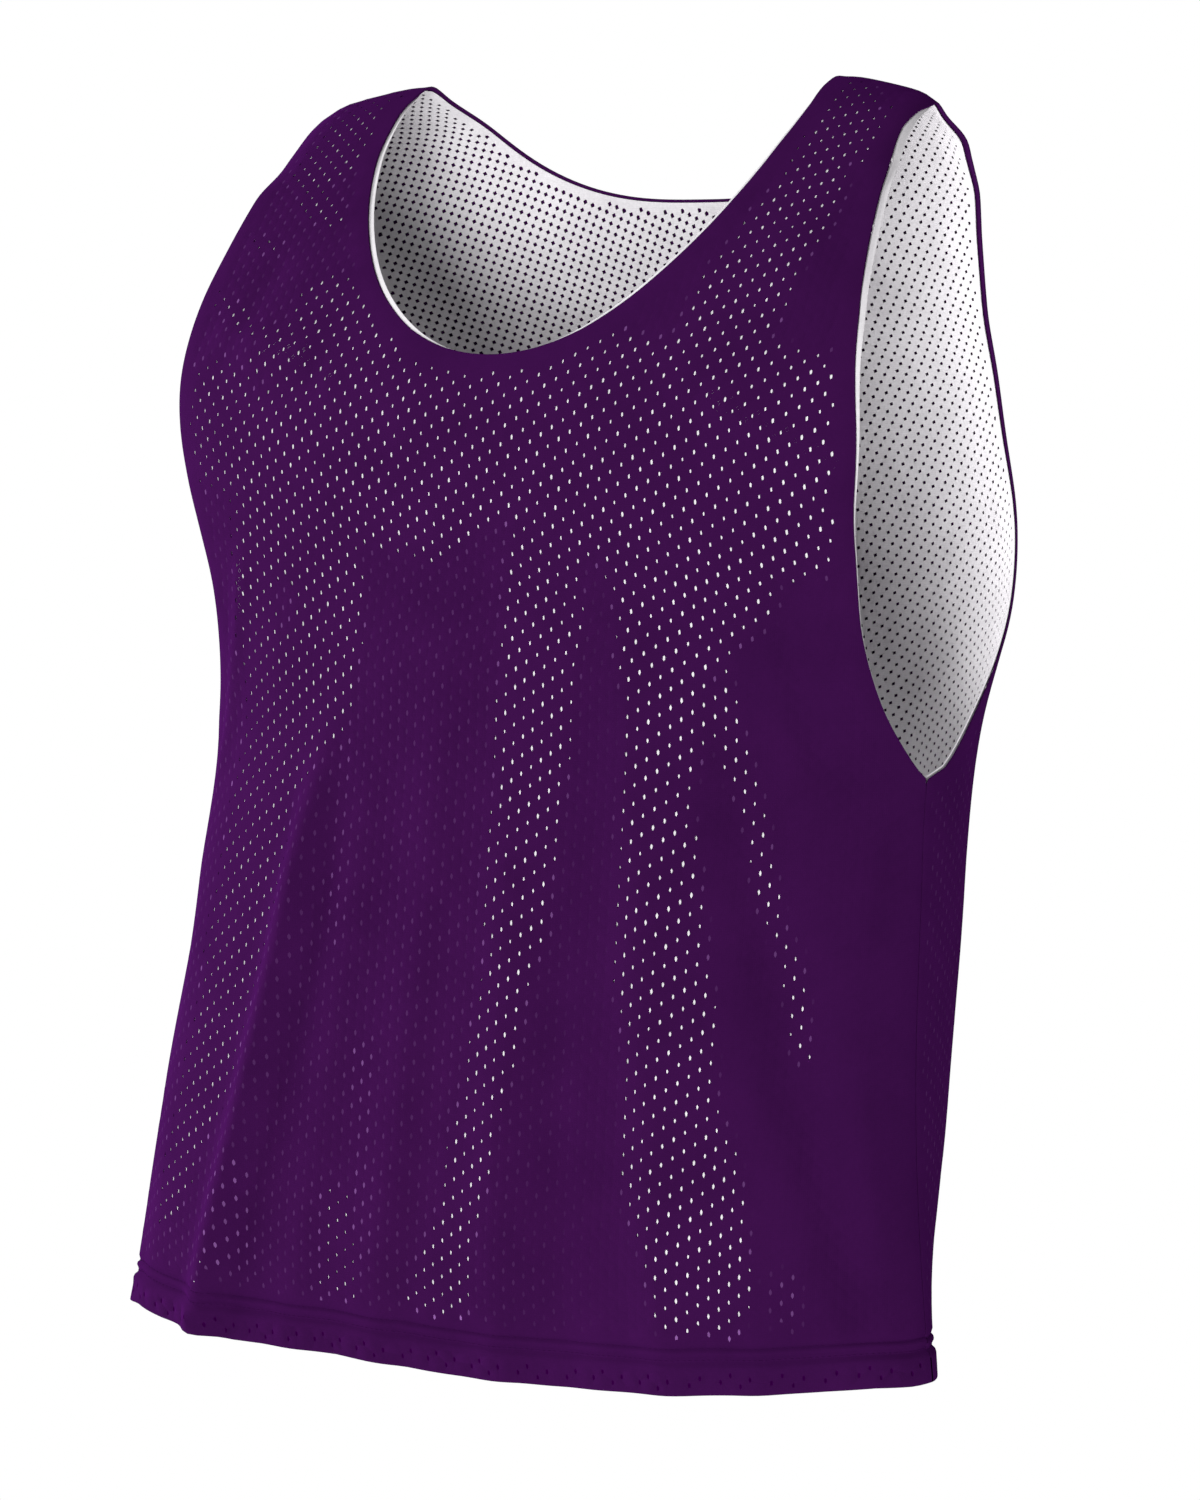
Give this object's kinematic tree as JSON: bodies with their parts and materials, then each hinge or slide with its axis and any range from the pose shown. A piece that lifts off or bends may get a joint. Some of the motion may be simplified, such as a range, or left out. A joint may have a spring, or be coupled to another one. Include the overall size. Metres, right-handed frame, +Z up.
{
  "type": "reversible lacrosse jersey",
  "caption": "Sleeveless reversible lacrosse jersey, purple mesh outside and white mesh lining inside, with a scoop neck, deep armholes and a straight stitched hem.",
  "frame": {"origin": "middle between the straps, level with where they rest on the wearer's shoulders", "axes": "+Z up, the front faces -Y, +X is the wearer's left"},
  "size_m": [0.446, 0.2702, 0.6154],
  "materials": {
    "purple_mesh": "matt knitted polyester mesh",
    "white_mesh": "matt knitted polyester mesh"
  },
  "bodies": {
    "root": {"front_outer": "purple_mesh", "back_outer": "purple_mesh", "front_lining": "white_mesh", "back_lining": "white_mesh"}
  },
  "joints": []
}
